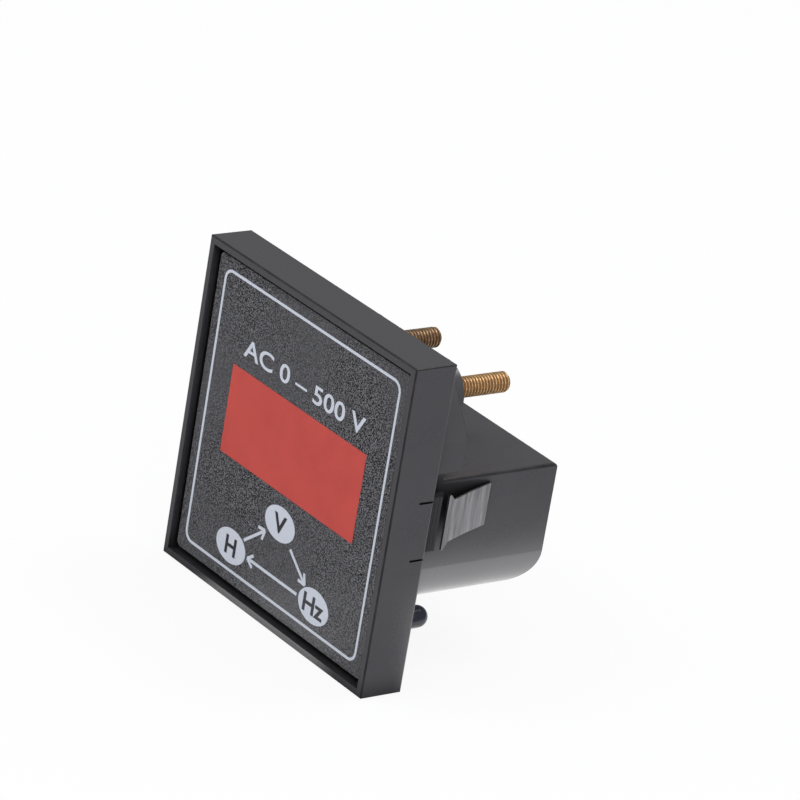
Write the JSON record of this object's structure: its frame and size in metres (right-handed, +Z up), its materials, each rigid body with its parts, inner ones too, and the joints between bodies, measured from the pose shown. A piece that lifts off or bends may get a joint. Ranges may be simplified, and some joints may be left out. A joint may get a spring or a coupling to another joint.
{
  "type": "digital panel meter",
  "caption": "Square digital panel meter with a red display window, a rear electronics box, threaded terminal studs and side spring clips that snap it into a panel cut-out.",
  "frame": {"origin": "middle of the bezel's back face, in the plane of the panel", "axes": "+Y back through the panel, +Z up as the meter is read, +X to the reader's right"},
  "size_m": [0.065, 0.0433, 0.065],
  "materials": {
    "case_black": "fine moulded grain",
    "face_grey": "stippled satin film",
    "white_ink": "screen-printed ink",
    "red_filter": "frosted red tint",
    "display_body": "matt",
    "display_epoxy": "milky, unlit",
    "circuit_board": "solder mask",
    "chip_black": "matt",
    "zinc_steel": "zinc plated",
    "ferrite": "sintered",
    "winding_tape": "taped winding",
    "capacitor_can": "printed sleeve",
    "film_box": "moulded box",
    "resistor_lacquer": "lacquer",
    "stud_brass": "rolled thread, slightly tarnished",
    "lead_insulation": "smooth",
    "spring_steel": "satin",
    "peg_black": "glossy"
  },
  "bodies": {
    "case": {"bezel": "case_black", "base": "case_black", "face_plate": "face_grey", "front_label": "face_grey", "label_print": "white_ink", "display_filter": "red_filter", "led_module": "display_body", "led_segments": "display_epoxy", "display_board": "circuit_board", "power_board": "circuit_board", "controller_chip": "chip_black", "chip_resistors": "chip_black", "bridge_rectifier": "chip_black", "board_header": "chip_black", "board_screws": "zinc_steel", "stud_nuts": "zinc_steel", "lock_washers": "zinc_steel", "solder_tags": "zinc_steel", "transformer_core": "ferrite", "transformer_bobbin": "chip_black", "transformer_winding": "winding_tape", "bulk_capacitor": "capacitor_can", "output_capacitor": "capacitor_can", "film_capacitor": "film_box", "fuse_resistor": "resistor_lacquer", "varistor": "resistor_lacquer", "left_stud": "stud_brass", "right_stud": "stud_brass", "left_lead": "lead_insulation", "right_lead": "lead_insulation", "locating_pegs": "peg_black"},
    "left_clip": {"left_clip": "spring_steel"},
    "right_clip": {"right_clip": "spring_steel"}
  },
  "joints": [
    {"name": "left_clip_flex", "type": "hinge", "parent": "case", "child": "left_clip", "pos_m": [-0.0244, 0.0184, 0], "axis": [0, 0, 1], "range_deg": [0, 5], "stiffness_Nm_per_rad": 0.6},
    {"name": "right_clip_flex", "type": "hinge", "parent": "case", "child": "right_clip", "pos_m": [0.0244, 0.0184, 0], "axis": [0, 0, -1], "range_deg": [0, 5], "stiffness_Nm_per_rad": 0.6}
  ]
}
